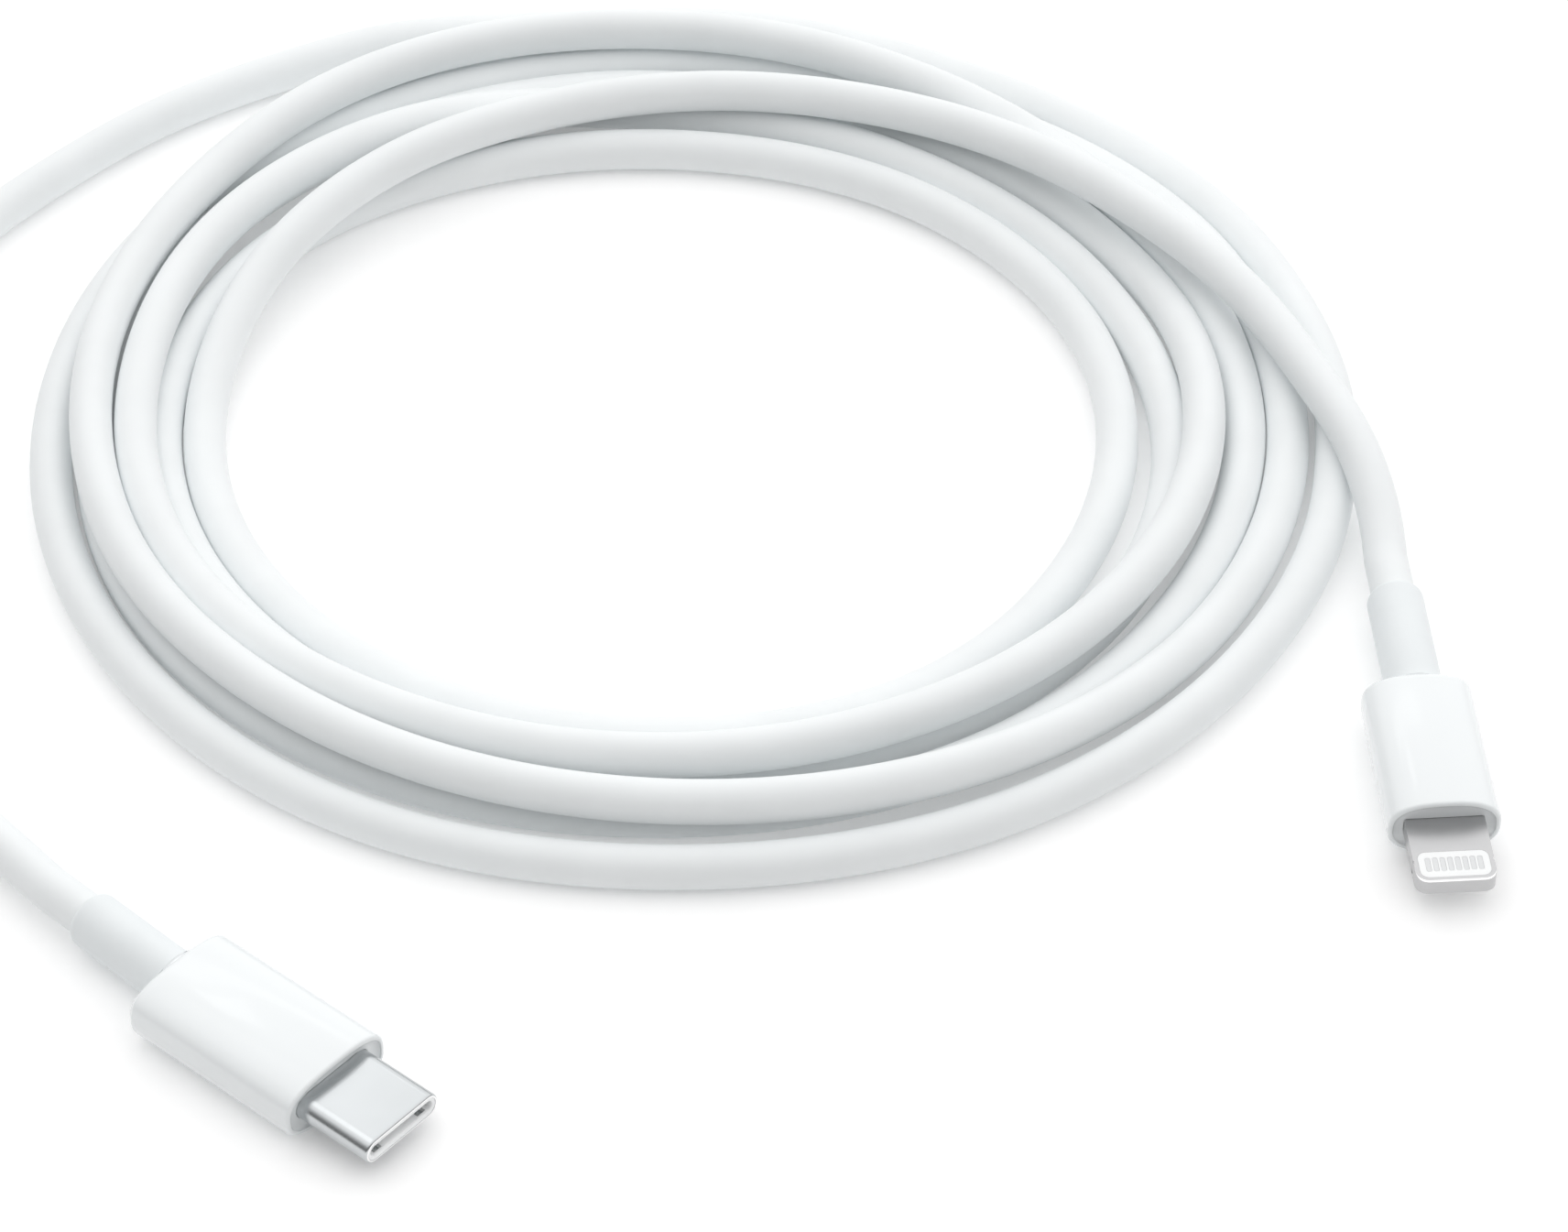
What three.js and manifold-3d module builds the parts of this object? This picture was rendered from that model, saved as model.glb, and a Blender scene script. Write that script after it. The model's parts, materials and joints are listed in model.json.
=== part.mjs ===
// A charging cable lying in a loose flat coil: an oval-shell plug on one end and a
// slim blade plug on the other. Millimetres, +Z up; the surface it lies on is z = 0.
import * as THREE from "three";
import { mergeVertices } from "three/addons/utils/BufferGeometryUtils.js";
import Module from "manifold-3d";

const wasm = await Module();
wasm.setup();

// ---- driving dimensions ----------------------------------------------------------
const CORD_DIAMETER = 3.8;
const CORD_SIDES = 8;
const FACE_GAP = 0.3; // between the cord's solids, and between them and the plugs
const FIT = 0.1; // clearance round a piece that sits in another

const COIL = { inner: 34.6, outer: 60.0, height: 9.0, corner: 2.6, segments: 48 };

const SLEEVE = { radius: 2.45, bore: 1.2, rounding: 0.9, neck: 1.6, inside: 2.4, gap: 0.15, segments: 24 };
const WIRE = { radius: 0.35, pitch: 0.95, sides: 8, lanes: [-1.5, 0.5, -0.5, 1.5] };
const FERRULE = { outer: 1.75, inner: 1.3, length: 2.4, start: 2.9 };
const WALL = 0.75; // moulded boot wall
const RIM = 0.8; // thickness of the lip round each boot's dished front
const DISH = 0.4; // depth of that dish
const BOOT_FRONT_WALL = 1.2;
const EDGE = 0.5; // rounding of the boots' ends

const OVAL = {
  sleeve: 10.3,
  length: 17.8,
  width: 11.2,
  thickness: 5.4,
  power: 3.2, // how square the boot's section is: 2 is an ellipse
  heading: -40.3, // degrees from +X, seen from above
  sleeveTilt: -3.0,
  tip: [-21.4, -86.9], // the mouth's centre, from the coil's centre
};
const SHELL = { width: 8.25, thickness: 2.4, wall: 0.28, exposed: 7.1, buried: 4.2 };
const CAVITY = { width: 6.95, height: 0.95, depth: 6.0 };
const MOUTH_WINDOW = { offset: 2.5, width: 0.9, front: 0.45, rear: 1.2 }; // through the insulator
const LATCH = { offset: 3.5, thickness: 0.15, height: 0.56, bulge: 0.16 };
const OVAL_CONTACT = { width: 0.22, thickness: 0.12, bulge: 0.16 };
const OVAL_PITCH = 0.5;
const OVAL_UPPER = [-5.5, -2.5, -1.5, -0.5, 0.5, 2.5, 5.5]; // contact places, in pitches
const OVAL_LOWER = [-5.5, -2.5, 1.5, 2.5, 5.5];

const BLADE = {
  sleeve: 12.1,
  length: 16.0,
  width: 9.5,
  thickness: 5.65,
  power: 2.6,
  heading: -86.0,
  tip: [63.55, -60.3], // the blade's front edge, from the coil's centre
};
const TONGUE = { width: 6.7, thickness: 1.5, exposed: 6.9, buried: 3.4, corner: 1.1 };
const WINDOW = { width: 5.9, front: 0.5, rear: 3.4, corner: 0.7 };
const NOTCH = 0.22; // the retaining dimple in each side of the blade
const BLADE_CONTACTS = 8;
const BLADE_PITCH = 0.62;
const PAD = { width: 0.42, length: 1.55, thickness: 0.08, seat: 0.04, corner: 0.12 };
const CAN = { wall: 0.2, split: 0.12 }; // two halves of folded metal round each board
const BOARD = { rear: 6.6, thickness: 0.6, overhang: 0.2 };
const CHIP = { gap: 0.05, thickness: 0.6 };

// The cord's uncoiled stretches, from the coil's centre: chosen along the real lie.
const OVAL_TAIL = [
  [-28.3, 56.0, 1.9],
  [-33.5, 53.6, 1.9],
  [-42.0, 49.6, 1.9],
  [-51.6, 43.1, 1.9],
  [-59.3, 35.4, 1.9],
  [-66.0, 27.4, 1.9],
  [-71.2, 18.3, 1.9],
  [-74.9, 7.5, 1.9],
  [-76.6, -5.0, 1.9],
  [-76.2, -17.0, 1.9],
  [-73.4, -29.0, 1.9],
  [-68.4, -39.5, 1.95],
  [-61.8, -48.4, 2.1],
  [-55.4, -55.6, 2.5],
  [-51.6, -60.2, 2.7],
];
const BLADE_TAIL = [
  [60.2, -12.6, 4.1],
  [60.55, -16.5, 3.6],
  [60.85, -20.5, 3.1],
];

// ---- colours and finishes --------------------------------------------------------
const FINISH = {
  jacket: [0xeef2f4, 0.55, 0],
  boot: [0xf6fafb, 0.25, 0],
  sleeve: [0xe8ecee, 0.6, 0],
  steel: [0xc9cccf, 0.25, 1],
  blade: [0xc8c8cb, 0.35, 1],
  insert: [0xf4f4f5, 0.4, 0],
  pad: [0xd6d8da, 0.4, 1],
  gold: [0xd9b25a, 0.3, 1],
  tin: [0xb8bbbe, 0.4, 1],
  board: [0x1f5c3a, 0.6, 0],
  chip: [0x222326, 0.5, 0],
  red: [0xc22a22, 0.5, 0],
  black: [0x1c1c1e, 0.5, 0],
  green: [0x2b8a46, 0.5, 0],
  white: [0xf0f0f0, 0.5, 0],
};

// ---- helpers ---------------------------------------------------------------------
function piece(name, geometry, finish) {
  const [color, roughness, metalness] = FINISH[finish];
  const mesh = new THREE.Mesh(geometry, new THREE.MeshStandardMaterial({ color, roughness, metalness }));
  mesh.name = name;
  return mesh;
}

function welded(geometry) {
  const bare = geometry.clone();
  bare.deleteAttribute("normal");
  bare.deleteAttribute("uv");
  return mergeVertices(bare, 1e-4);
}

function solid(geometry) {
  const closed = welded(geometry);
  const vertProperties = new Float32Array(closed.attributes.position.array);
  const triVerts = new Uint32Array(closed.index.array);
  return new wasm.Manifold(new wasm.Mesh({ numProp: 3, vertProperties, triVerts }));
}

function geometryOf(manifold) {
  const mesh = manifold.getMesh();
  const geometry = new THREE.BufferGeometry();
  geometry.setAttribute("position", new THREE.BufferAttribute(new Float32Array(mesh.vertProperties), 3));
  geometry.setIndex(new THREE.BufferAttribute(new Uint32Array(mesh.triVerts), 1));
  return geometry;
}

function cut(body, ...tools) {
  return geometryOf(tools.reduce((left, tool) => left.subtract(solid(tool)), solid(body)));
}

function box(x0, x1, y0, y1, z0, z1) {
  return new THREE.BoxGeometry(x1 - x0, y1 - y0, z1 - z0)
    .translate((x0 + x1) / 2, (y0 + y1) / 2, (z0 + z1) / 2);
}

// An outline drawn across the plug (its u runs along Y, its v along Z), pushed along X.
function alongPlug(shape, x0, x1, bevel = 0) {
  const geometry = new THREE.ExtrudeGeometry(shape, {
    depth: x1 - x0 - 2 * bevel,
    bevelEnabled: bevel > 0,
    bevelThickness: bevel,
    bevelSize: bevel,
    bevelOffset: -bevel,
    bevelSegments: 2,
    curveSegments: 6,
  });
  return geometry.rotateX(Math.PI / 2).rotateZ(Math.PI / 2).translate(x0 + bevel, 0, 0);
}

// A plan outline (u along X, v along Y), pushed up along Z.
function upwards(shape, z0, z1, curveSegments = 4) {
  const options = { depth: z1 - z0, bevelEnabled: false, curveSegments };
  return new THREE.ExtrudeGeometry(shape, options).translate(0, 0, z0);
}

// A closed form between a rectangle and an ellipse.
function superellipse(width, height, power, count = 28) {
  const shape = new THREE.Shape();
  for (let i = 0; i < count; i += 1) {
    const angle = ((i + 0.5) / count) * 2 * Math.PI;
    const c = Math.cos(angle);
    const s = Math.sin(angle);
    const u = (width / 2) * Math.sign(c) * Math.abs(c) ** (2 / power);
    const v = (height / 2) * Math.sign(s) * Math.abs(s) ** (2 / power);
    if (i === 0) shape.moveTo(u, v);
    else shape.lineTo(u, v);
  }
  shape.closePath();
  return shape;
}

function roundedRectangle(u0, u1, v0, v1, radius) {
  const shape = new THREE.Shape();
  const quarter = Math.PI / 2;
  shape.absarc(u1 - radius, v0 + radius, radius, -quarter, 0, false);
  shape.absarc(u1 - radius, v1 - radius, radius, 0, quarter, false);
  shape.absarc(u0 + radius, v1 - radius, radius, quarter, 2 * quarter, false);
  shape.absarc(u0 + radius, v0 + radius, radius, 2 * quarter, 3 * quarter, false);
  return shape;
}

function stadium(width, height) {
  const shape = new THREE.Shape();
  const radius = height / 2;
  const reach = width / 2 - radius;
  shape.absarc(reach, 0, radius, -Math.PI / 2, Math.PI / 2, false);
  shape.absarc(-reach, 0, radius, Math.PI / 2, 1.5 * Math.PI, false);
  return shape;
}

// A body turned about the plug's axis from a closed [x, radius] profile.
function turned(profile, segments) {
  const points = profile.map(([x, radius]) => new THREE.Vector2(radius, x));
  return new THREE.LatheGeometry([...points, points[0]], segments).rotateZ(-Math.PI / 2);
}

function tube(points, radius, sides, steps) {
  const curve = new THREE.CatmullRomCurve3(points.map((p) => new THREE.Vector3(...p)), false, "centripetal");
  const section = new THREE.Shape();
  for (let i = 0; i < sides; i += 1) {
    const angle = ((i + 0.5) / sides) * 2 * Math.PI;
    const u = radius * Math.cos(angle);
    const v = radius * Math.sin(angle);
    if (i === 0) section.moveTo(u, v);
    else section.lineTo(u, v);
  }
  section.closePath();
  return new THREE.ExtrudeGeometry(section, { steps, bevelEnabled: false, extrudePath: curve });
}

// ---- pieces that both plugs have ---------------------------------------------------
// In a plug's own frame X runs out of the mouth, x = 0 is the boot's rear face and
// z = 0 is the plug's axis.
function boot(name, dims, opening) {
  const { length, width, thickness, power } = dims;
  const outer = alongPlug(superellipse(width, thickness, power), 0, length, EDGE);
  const hollow = superellipse(width - 2 * WALL, thickness - 2 * WALL, power);
  const dish = superellipse(width - 2 * RIM, thickness - 2 * RIM, power);
  const geometry = cut(
    outer,
    alongPlug(hollow, WALL, length - DISH - BOOT_FRONT_WALL),
    alongPlug(dish, length - DISH, length + 1),
    alongPlug(opening, length - 3, length + 1),
    new THREE.CylinderGeometry(SLEEVE.neck + 0.2, SLEEVE.neck + 0.2, 3, 24).rotateZ(Math.PI / 2),
  );
  return piece(name, geometry, "boot");
}

function sleeve(name, length) {
  const { radius, bore, rounding, neck, inside, gap, segments } = SLEEVE;
  const profile = [
    [-length, bore],
    [-length, radius - rounding],
    [-length + 0.3 * rounding, radius - 0.3 * rounding],
    [-length + rounding, radius],
    [-gap, radius],
    [-gap, neck],
    [inside, neck],
    [inside, bore],
  ];
  return piece(name, turned(profile, segments), "sleeve");
}

function ferrule(name) {
  const { outer, inner, length, start } = FERRULE;
  const profile = [[start, inner], [start, outer], [start + length, outer], [start + length, inner]];
  return piece(name, turned(profile, 20), "tin");
}

// Half of the folded metal can round the circuit board: a channel, open at its ends.
function can(name, side, front, width, height) {
  const { wall, split } = CAN;
  const rear = BOARD.rear - BOARD.overhang;
  const outer = box(rear, front, -width / 2, width / 2, split, height / 2);
  const inside = box(rear - 1, front + 1, -width / 2 + wall, width / 2 - wall, split - 1, height / 2 - wall);
  const mesh = piece(name, cut(outer, inside), "tin");
  mesh.rotation.x = side > 0 ? 0 : Math.PI;
  return mesh;
}

function board(name, front, width) {
  const { rear, thickness } = BOARD;
  return piece(name, box(rear, front, -width / 2, width / 2, -thickness / 2, thickness / 2), "board");
}

// A square chip on the board's upper face.
function chip(name, rear, size) {
  const z0 = BOARD.thickness / 2 + CHIP.gap;
  return piece(name, box(rear, rear + size, -size / 2, size / 2, z0, z0 + CHIP.thickness), "chip");
}

// Four wires leave the cord in a square bundle and fan out to the board's rear edge.
function wires(prefix, spread) {
  const names = ["power", "ground", "data_plus", "data_minus"];
  const finishes = ["red", "black", "green", "white"];
  return names.map((name, i) => {
    const y = (i % 2 === 0 ? -0.5 : 0.5) * WIRE.pitch;
    const z = (i < 2 ? 0.5 : -0.5) * WIRE.pitch;
    const far = WIRE.lanes[i] * spread;
    const route = [
      [SLEEVE.inside + FIT, y, z],
      [FERRULE.start, y, z],
      [FERRULE.start + FERRULE.length, y, z],
      [BOARD.rear - FACE_GAP, far, 0],
    ];
    return piece(`${prefix}_wire_${name}`, tube(route, WIRE.radius, WIRE.sides, 8), finishes[i]);
  });
}

// ---- the oval-shell plug -------------------------------------------------------------
function ovalContact(name, place, side) {
  const y = place * OVAL_PITCH;
  const front = OVAL.length + SHELL.exposed;
  const root = OVAL.length - SHELL.buried + 0.4;
  const { width, thickness, bulge } = OVAL_CONTACT;
  const z = CAVITY.height / 2 + 0.3;
  const upper = [[root, z], [front - 3.4, z], [front - 2.6, z - bulge], [front - 1.9, z - 0.6 * bulge]];
  const strip = new THREE.Shape();
  upper.forEach(([x, h], i) => (i === 0 ? strip.moveTo(x, h) : strip.lineTo(x, h)));
  [...upper].reverse().forEach(([x, h]) => strip.lineTo(x, h - thickness));
  strip.closePath();
  const geometry = new THREE.ExtrudeGeometry(strip, { depth: width, bevelEnabled: false })
    .rotateX(Math.PI / 2).translate(0, y + width / 2, 0);
  if (side < 0) geometry.rotateX(Math.PI).translate(0, 2 * y, 0);
  return piece(name, geometry, "gold");
}

function ovalShell(rear, front) {
  const { width, thickness, wall } = SHELL;
  return cut(
    alongPlug(stadium(width, thickness), rear, front, 0.12),
    alongPlug(stadium(width - 2 * wall, thickness - 2 * wall), rear - 1, front + 1),
  );
}

// Slots for the contact strips, for the side latches and for two windows near the mouth.
function insulatorCuts(rear, front) {
  const slot = 0.17;
  const grooveTop = CAVITY.height / 2 + 0.36;
  const cuts = [];
  [[OVAL_UPPER, 1], [OVAL_LOWER, -1]].forEach(([row, side]) => {
    const [z0, z1] = side > 0 ? [0.2, grooveTop] : [-grooveTop, -0.2];
    row.forEach((place) => {
      const y = place * OVAL_PITCH;
      cuts.push(box(rear - 1, front - 1.6, y - slot, y + slot, z0, z1));
    });
  });
  [-1, 1].forEach((side) => {
    const pocket = side * LATCH.offset;
    const window = side * MOUTH_WINDOW.offset;
    const half = MOUTH_WINDOW.width / 2;
    cuts.push(box(rear + 1.5, front - 0.9, pocket - 0.3, pocket + 0.3, -0.35, 0.35));
    cuts.push(box(front - MOUTH_WINDOW.rear, front - MOUTH_WINDOW.front, window - half, window + half, -2, 2));
  });
  return cuts;
}

function ovalInsulator(rear, front) {
  const inset = 2 * (SHELL.wall + FIT);
  return cut(
    alongPlug(stadium(SHELL.width - inset, SHELL.thickness - inset), rear + 0.3, front - 0.25),
    alongPlug(stadium(CAVITY.width, CAVITY.height), front - CAVITY.depth, front + 1),
    ...insulatorCuts(rear, front),
  );
}

// A side spring with a shallow bulge near its tip, which holds the plug in its socket.
function ovalLatch(name, side, rear, front) {
  const { offset, thickness, height, bulge } = LATCH;
  const line = [[rear + 1.7, 0], [front - 2.6, 0], [front - 2.0, -bulge], [front - 1.4, -0.2 * bulge]];
  const plan = new THREE.Shape();
  line.forEach(([x, y], i) => {
    const place = offset - thickness / 2 + y;
    if (i === 0) plan.moveTo(x, place);
    else plan.lineTo(x, place);
  });
  [...line].reverse().forEach(([x, y]) => plan.lineTo(x, offset + thickness / 2 + y));
  plan.closePath();
  const geometry = upwards(plan, -height / 2, height / 2);
  if (side < 0) geometry.rotateX(Math.PI);
  return piece(name, geometry, "tin");
}

function ovalPlug() {
  const group = new THREE.Group();
  const front = OVAL.length + SHELL.exposed;
  const rear = OVAL.length - SHELL.buried;
  const coreFront = rear - 0.15;
  const relief = sleeve("oval_sleeve", OVAL.sleeve);
  relief.rotation.z = THREE.MathUtils.degToRad(OVAL.sleeveTilt);
  group.add(
    boot("oval_boot", OVAL, stadium(SHELL.width + 2 * FIT, SHELL.thickness + 2 * FIT)),
    relief,
    ferrule("oval_ferrule"),
    piece("oval_shell", ovalShell(rear, front), "steel"),
    piece("oval_insulator", ovalInsulator(rear, front), "insert"),
    ...OVAL_UPPER.map((place, i) => ovalContact(`oval_contact_upper_${i + 1}`, place, 1)),
    ...OVAL_LOWER.map((place, i) => ovalContact(`oval_contact_lower_${i + 1}`, place, -1)),
    ovalLatch("oval_latch_left", 1, rear, front),
    ovalLatch("oval_latch_right", -1, rear, front),
    board("oval_board", coreFront, 6.2),
    chip("oval_marker_chip", BOARD.rear + 2.2, 2.0),
    can("oval_can_upper", 1, coreFront, 7.0, 3.1),
    can("oval_can_lower", -1, coreFront, 7.0, 3.1),
    ...wires("oval", 1.3),
  );
  placePlug(group, OVAL, SHELL.exposed);
  return group;
}

// ---- the blade plug ------------------------------------------------------------------
// The window's outline, drawn in by an inset.
function windowPlan(front, inset) {
  const half = WINDOW.width / 2 - inset;
  const [u0, u1] = [front - WINDOW.rear + inset, front - WINDOW.front - inset];
  return roundedRectangle(u0, u1, -half, half, WINDOW.corner - inset);
}

// The steel tongue: rounded front corners, a dimple in each side, a window and a board slot.
function bladeFrame(rear, front) {
  const { width, thickness, corner } = TONGUE;
  const side = width / 2;
  const notch = front - 2.4;
  const plan = new THREE.Shape();
  plan.moveTo(rear, -side);
  plan.lineTo(notch - 0.8, -side);
  plan.lineTo(notch, -side + NOTCH);
  plan.lineTo(notch + 0.5, -side);
  plan.absarc(front - corner, -side + corner, corner, -Math.PI / 2, 0, false);
  plan.absarc(front - corner, side - corner, corner, 0, Math.PI / 2, false);
  plan.lineTo(notch + 0.5, side);
  plan.lineTo(notch, side - NOTCH);
  plan.lineTo(notch - 0.8, side);
  plan.lineTo(rear, side);
  plan.closePath();
  const boardSlot = box(rear - 1, rear + 1.6, -2.6, 2.6, -0.36, 0.36);
  const blank = upwards(plan, -thickness / 2, thickness / 2);
  return cut(blank, upwards(windowPlan(front, 0), -thickness, thickness), boardSlot);
}

function bladePad(name, place, side, front, seat) {
  const y = (place - (BLADE_CONTACTS - 1) / 2) * BLADE_PITCH;
  const middle = front - (WINDOW.rear + WINDOW.front) / 2;
  const [u0, u1] = [middle - PAD.length / 2, middle + PAD.length / 2];
  const outline = roundedRectangle(u0, u1, y - PAD.width / 2, y + PAD.width / 2, PAD.corner);
  const geometry = upwards(outline, seat, seat + PAD.thickness, 1);
  if (side < 0) geometry.rotateX(Math.PI);
  return piece(name, geometry, "pad");
}

function bladePlug() {
  const group = new THREE.Group();
  const front = BLADE.length + TONGUE.exposed;
  const rear = BLADE.length - TONGUE.buried;
  const side = TONGUE.width / 2 + FIT;
  const half = TONGUE.thickness / 2;
  const insertHalf = half - PAD.thickness - 0.06;
  const insert = upwards(windowPlan(front, FIT), -insertHalf, insertHalf);
  group.add(
    boot("blade_boot", BLADE, roundedRectangle(-side, side, -half - FIT, half + FIT, 0.1)),
    sleeve("blade_sleeve", BLADE.sleeve),
    ferrule("blade_ferrule"),
    piece("blade_frame", bladeFrame(rear, front), "blade"),
    piece("blade_insert", insert, "insert"),
    board("blade_board", rear + 1.5, 4.8),
    chip("blade_controller_chip", BOARD.rear + 1.4, 2.4),
    can("blade_can_upper", 1, rear - 0.15, 5.6, 3.2),
    can("blade_can_lower", -1, rear - 0.15, 5.6, 3.2),
    ...wires("blade", 1.1),
  );
  [[1, "upper"], [-1, "lower"]].forEach(([face, word]) => {
    for (let i = 0; i < BLADE_CONTACTS; i += 1) {
      group.add(bladePad(`blade_contact_${word}_${i + 1}`, i, face, front, insertHalf + PAD.seat));
    }
  });
  placePlug(group, BLADE, TONGUE.exposed);
  return group;
}

// Turns a plug to its heading and lays its boot on the surface with its tip in place.
function placePlug(group, dims, exposed) {
  const heading = THREE.MathUtils.degToRad(dims.heading);
  const reach = dims.length + exposed;
  group.rotation.z = heading;
  group.position.set(
    dims.tip[0] - reach * Math.cos(heading),
    dims.tip[1] - reach * Math.sin(heading),
    dims.thickness / 2,
  );
}

// Where a sleeve's cord end is, a little way out of it along its axis.
function sleeveEnd(dims, exposed, out) {
  const heading = THREE.MathUtils.degToRad(dims.heading);
  const along = THREE.MathUtils.degToRad(dims.heading + (dims.sleeveTilt ?? 0));
  const reach = dims.length + exposed;
  return [
    dims.tip[0] - reach * Math.cos(heading) - (dims.sleeve + out) * Math.cos(along),
    dims.tip[1] - reach * Math.sin(heading) - (dims.sleeve + out) * Math.sin(along),
    dims.thickness / 2,
  ];
}

// ---- the cord ------------------------------------------------------------------------
// One ring has the outer shape of the coiled turns, which lie beside and on each other.
function coil() {
  const { inner, outer, height, corner, segments } = COIL;
  const c = corner;
  const section = [];
  const corners = [
    [outer - c, c, -90], [outer - c, height - c, 0], [inner + c, height - c, 90], [inner + c, c, 180],
  ];
  corners.forEach(([r, z, start]) => {
    for (let i = 0; i <= 2; i += 1) {
      const angle = THREE.MathUtils.degToRad(start + i * 45);
      section.push(new THREE.Vector2(r + c * Math.cos(angle), z + c * Math.sin(angle)));
    }
  });
  section.push(section[0].clone());
  return piece("cord_coil", new THREE.LatheGeometry(section, segments).rotateX(Math.PI / 2), "jacket");
}

function tail(name, route, dims, exposed, steps) {
  const ends = [3 * CORD_DIAMETER / 2, FACE_GAP].map((out) => sleeveEnd(dims, exposed, out));
  const geometry = tube([...route, ...ends], CORD_DIAMETER / 2, CORD_SIDES, steps);
  return piece(name, geometry, "jacket");
}

// ---- the whole cable, with its origin midway between the plugs, on the surface ---------
const cable = new THREE.Group();
const plugs = [ovalPlug(), bladePlug()];
const cord = [
  coil(),
  tail("cord_tail_oval", OVAL_TAIL, OVAL, SHELL.exposed, 30),
  tail("cord_tail_blade", BLADE_TAIL, BLADE, TONGUE.exposed, 8),
];
cable.add(...plugs, ...cord);
cable.updateMatrixWorld(true);
const extent = new THREE.Box3();
plugs.forEach((plug) => extent.expandByObject(plug, true));
const centre = extent.getCenter(new THREE.Vector3());
cable.position.set(-centre.x, -centre.y, 0);

export default cable;
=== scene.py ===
import json
import math

import bmesh
import bpy
import numpy as np
from mathutils import Matrix, Vector
from mathutils.geometry import tessellate_polygon


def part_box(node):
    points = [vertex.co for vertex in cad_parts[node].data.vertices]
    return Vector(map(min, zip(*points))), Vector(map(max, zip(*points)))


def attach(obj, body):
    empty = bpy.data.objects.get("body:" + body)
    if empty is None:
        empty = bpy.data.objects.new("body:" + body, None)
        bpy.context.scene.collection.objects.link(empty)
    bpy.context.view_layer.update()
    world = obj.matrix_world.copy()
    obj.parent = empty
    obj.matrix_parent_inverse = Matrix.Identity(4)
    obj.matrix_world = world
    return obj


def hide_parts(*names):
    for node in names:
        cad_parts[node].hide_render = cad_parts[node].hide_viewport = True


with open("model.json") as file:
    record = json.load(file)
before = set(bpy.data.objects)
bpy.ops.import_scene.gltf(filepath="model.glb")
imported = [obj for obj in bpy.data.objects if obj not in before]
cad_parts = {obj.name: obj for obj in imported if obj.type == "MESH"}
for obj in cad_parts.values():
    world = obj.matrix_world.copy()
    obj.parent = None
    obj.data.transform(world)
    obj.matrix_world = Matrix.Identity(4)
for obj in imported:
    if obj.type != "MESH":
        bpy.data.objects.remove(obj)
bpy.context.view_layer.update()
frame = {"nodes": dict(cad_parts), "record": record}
MM = 0.001

# ---- sizes, in millimetres -------------------------------------------------------------------
CORD_DIAMETER = 3.8
CORD_SIDES = 28
CORD_IN_SLEEVE = 2.5
STRAIGHT_OUT = 1.5 * CORD_DIAMETER  # how far the cord runs straight on from a sleeve

WALL = 0.75
HOLE = 2.52  # radius of the hole that the sleeve goes into
REAR_FILLET = 0.75
FRONT_FILLET = 0.3
LIP = 0.36  # from the boot's side to the inner edge of its front lip
LIP_FILLET = 0.1
DISH = 0.42  # how far the boot's front is sunk round its mouth
FRONT_WALL = 1.2
# The dish's profile: how far out of its floor, and how far in from the lip's inner edge.
BOWL = ((0.25, 0.16), (0.16, 0.29), (0.09, 0.45), (0.04, 0.62), (0.01, 0.81), (0.0, 0.94))
MOUTH_EDGE = 0.04  # the chamfer round a boot's mouth
MOUTH_GAP = 0.01  # between a mouth and the metal in it
MOUTH_CORNER = 0.06
HOLE_EDGE = 0.1  # the chamfer round the sleeve's hole
LAND = 0.02  # the flat strip that keeps the shading of a bevelled face flat
AROUND = 96  # points round a section
CREASE = 32.0  # degrees between two faces, from where the edge between them shows sharp
CUT_CREASE = 20.0

OVAL = {"sleeve": 10.3, "length": 17.8, "width": 11.2, "thickness": 5.4, "power": 2.9,
        "tilt": -3.0}
# The last entry is how far back from its front the shell takes a painted highlight on its rim.
SHELL = {"width": 8.25, "thickness": 2.4, "wall": 0.28, "exposed": 7.1, "buried": 4.2,
         "roll": 0.25, "inner_fillet": 0.02, "painted_highlight_band": 0.022}
SHELL_REAR = OVAL["length"] - SHELL["buried"]
SHELL_FRONT = OVAL["length"] + SHELL["exposed"]
INSULATOR = {"start": 0.3, "gap": 0.006, "sunk": 0.04, "edge": 0.02, "lead_in": 0.2}
CAVITY = {"width": 6.95, "height": 0.95, "depth": 6.0}
MOUTH_WINDOW = {"offset": 2.5, "width": 0.9, "front": 0.32, "rear": 1.15}
STRIP_SLOT = {"width": 0.34, "inner": 0.2, "depth": 0.36, "front": 1.6}
LATCH_POCKET = {"offset": 3.5, "width": 0.6, "height": 0.7, "front": 0.9, "rear": 1.5}
THROUGH = 4.0  # the height of a cut right through the oval plug's end
OPEN_END = 1.0  # how far a slot's cut runs out of the rear
OVAL_PITCH = 0.5
OVAL_UPPER = (-5.5, -2.5, -1.5, -0.5, 0.5, 2.5, 5.5)
OVAL_LOWER = (-5.5, -2.5, 1.5, 2.5, 5.5)

BLADE = {"sleeve": 12.1, "length": 16.0, "width": 9.5, "thickness": 5.65, "power": 2.6,
         "tilt": 0.0}
TONGUE = {"width": 6.7, "thickness": 1.5, "exposed": 6.9, "buried": 3.4, "corner": 1.1,
          "bevel": 0.02, "chamfer": 0.075}
TONGUE_REAR = BLADE["length"] - TONGUE["buried"]
TONGUE_FRONT = BLADE["length"] + TONGUE["exposed"]
# Chamfer faces at the tongue's nose whose normals rise in this range take a painted highlight, the
# brighter steel.
PAINTED_HIGHLIGHT_RISE = (0.85, 0.97)  # the range of the upward part of the chamfer's normals
DIMPLE = {"back": 2.35, "outside": 0.06, "radii": (0.5, 0.3, 0.85)}
BOARD_SLOT = {"length": 1.6, "width": 5.2, "height": 0.72}
WINDOW = {"width": 5.9, "front": 0.5, "rear": 3.4, "corner": 0.75}
INSERT = {"gap": 0.006, "sunk": 0.003, "bevel": 0.015}
PAD = {"count": 8, "pitch": 0.62, "width": 0.42, "length": 1.55, "corner": 0.14, "gap": 0.012,
       "sunk": 0.012, "root": 0.4, "bevel": 0.02}

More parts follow.
